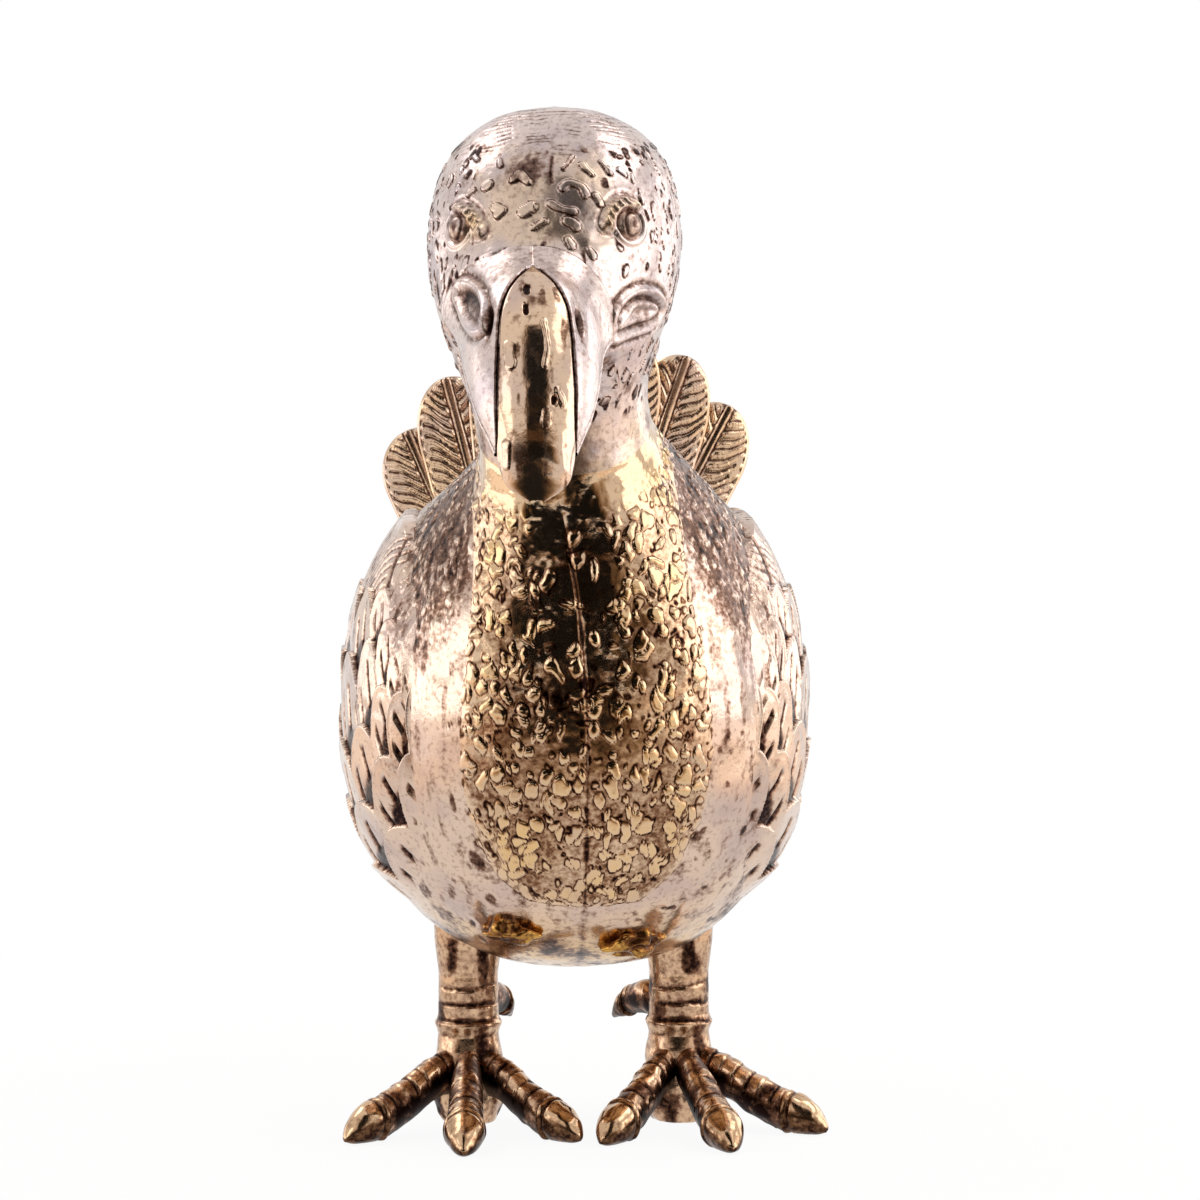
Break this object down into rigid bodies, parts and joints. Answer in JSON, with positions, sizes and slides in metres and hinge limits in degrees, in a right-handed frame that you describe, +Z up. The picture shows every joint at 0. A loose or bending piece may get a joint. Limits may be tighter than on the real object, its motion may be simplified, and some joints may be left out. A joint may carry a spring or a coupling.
{
  "type": "animal ornament",
  "caption": "Standing dodo ornament in antiqued bronze, with hooked beak, fanned tail plumes and clawed feet.",
  "frame": {"origin": "on the ground under the middle of the ornament's box", "axes": "+Z up, the bird faces -Y, +X to the right of someone who looks at its face"},
  "size_m": [0.1493, 0.2834, 0.3135],
  "materials": {
    "antiqued_bronze": "polished heights over dark patina",
    "polished_bronze": "polished",
    "golden_bronze": "brown patina, rubbed",
    "bright_brass": "polished",
    "braze": "as brazed",
    "dark_patina": "dark patina"
  },
  "bodies": {
    "root": {"beak_culmen": "polished_bronze", "beak_side_left": "polished_bronze", "beak_side_right": "polished_bronze", "body_shell_left": "antiqued_bronze", "body_shell_right": "antiqued_bronze", "braze_bead_left": "braze", "braze_bead_right": "braze", "claw_left_hind": "bright_brass", "claw_left_inner": "bright_brass", "claw_left_middle": "bright_brass", "claw_left_outer": "bright_brass", "claw_right_hind": "bright_brass", "claw_right_inner": "bright_brass", "claw_right_middle": "bright_brass", "claw_right_outer": "bright_brass", "eye_left": "dark_patina", "eye_right": "dark_patina", "head_shell_left": "antiqued_bronze", "head_shell_right": "antiqued_bronze", "leg_left": "golden_bronze", "leg_right": "golden_bronze", "lower_beak": "antiqued_bronze", "neck_sleeve": "golden_bronze", "tail_plume_1": "antiqued_bronze", "tail_plume_2": "antiqued_bronze", "tail_plume_3": "antiqued_bronze", "tail_plume_4": "antiqued_bronze", "tail_plume_5": "antiqued_bronze", "tail_plume_6": "antiqued_bronze", "tail_plume_7": "antiqued_bronze", "tail_root": "golden_bronze", "toe_left_hind": "golden_bronze", "toe_left_inner": "golden_bronze", "toe_left_middle": "golden_bronze", "toe_left_outer": "golden_bronze", "toe_right_hind": "golden_bronze", "toe_right_inner": "golden_bronze", "toe_right_middle": "golden_bronze", "toe_right_outer": "golden_bronze", "wing_left": "antiqued_bronze", "wing_right": "antiqued_bronze"}
  },
  "joints": []
}
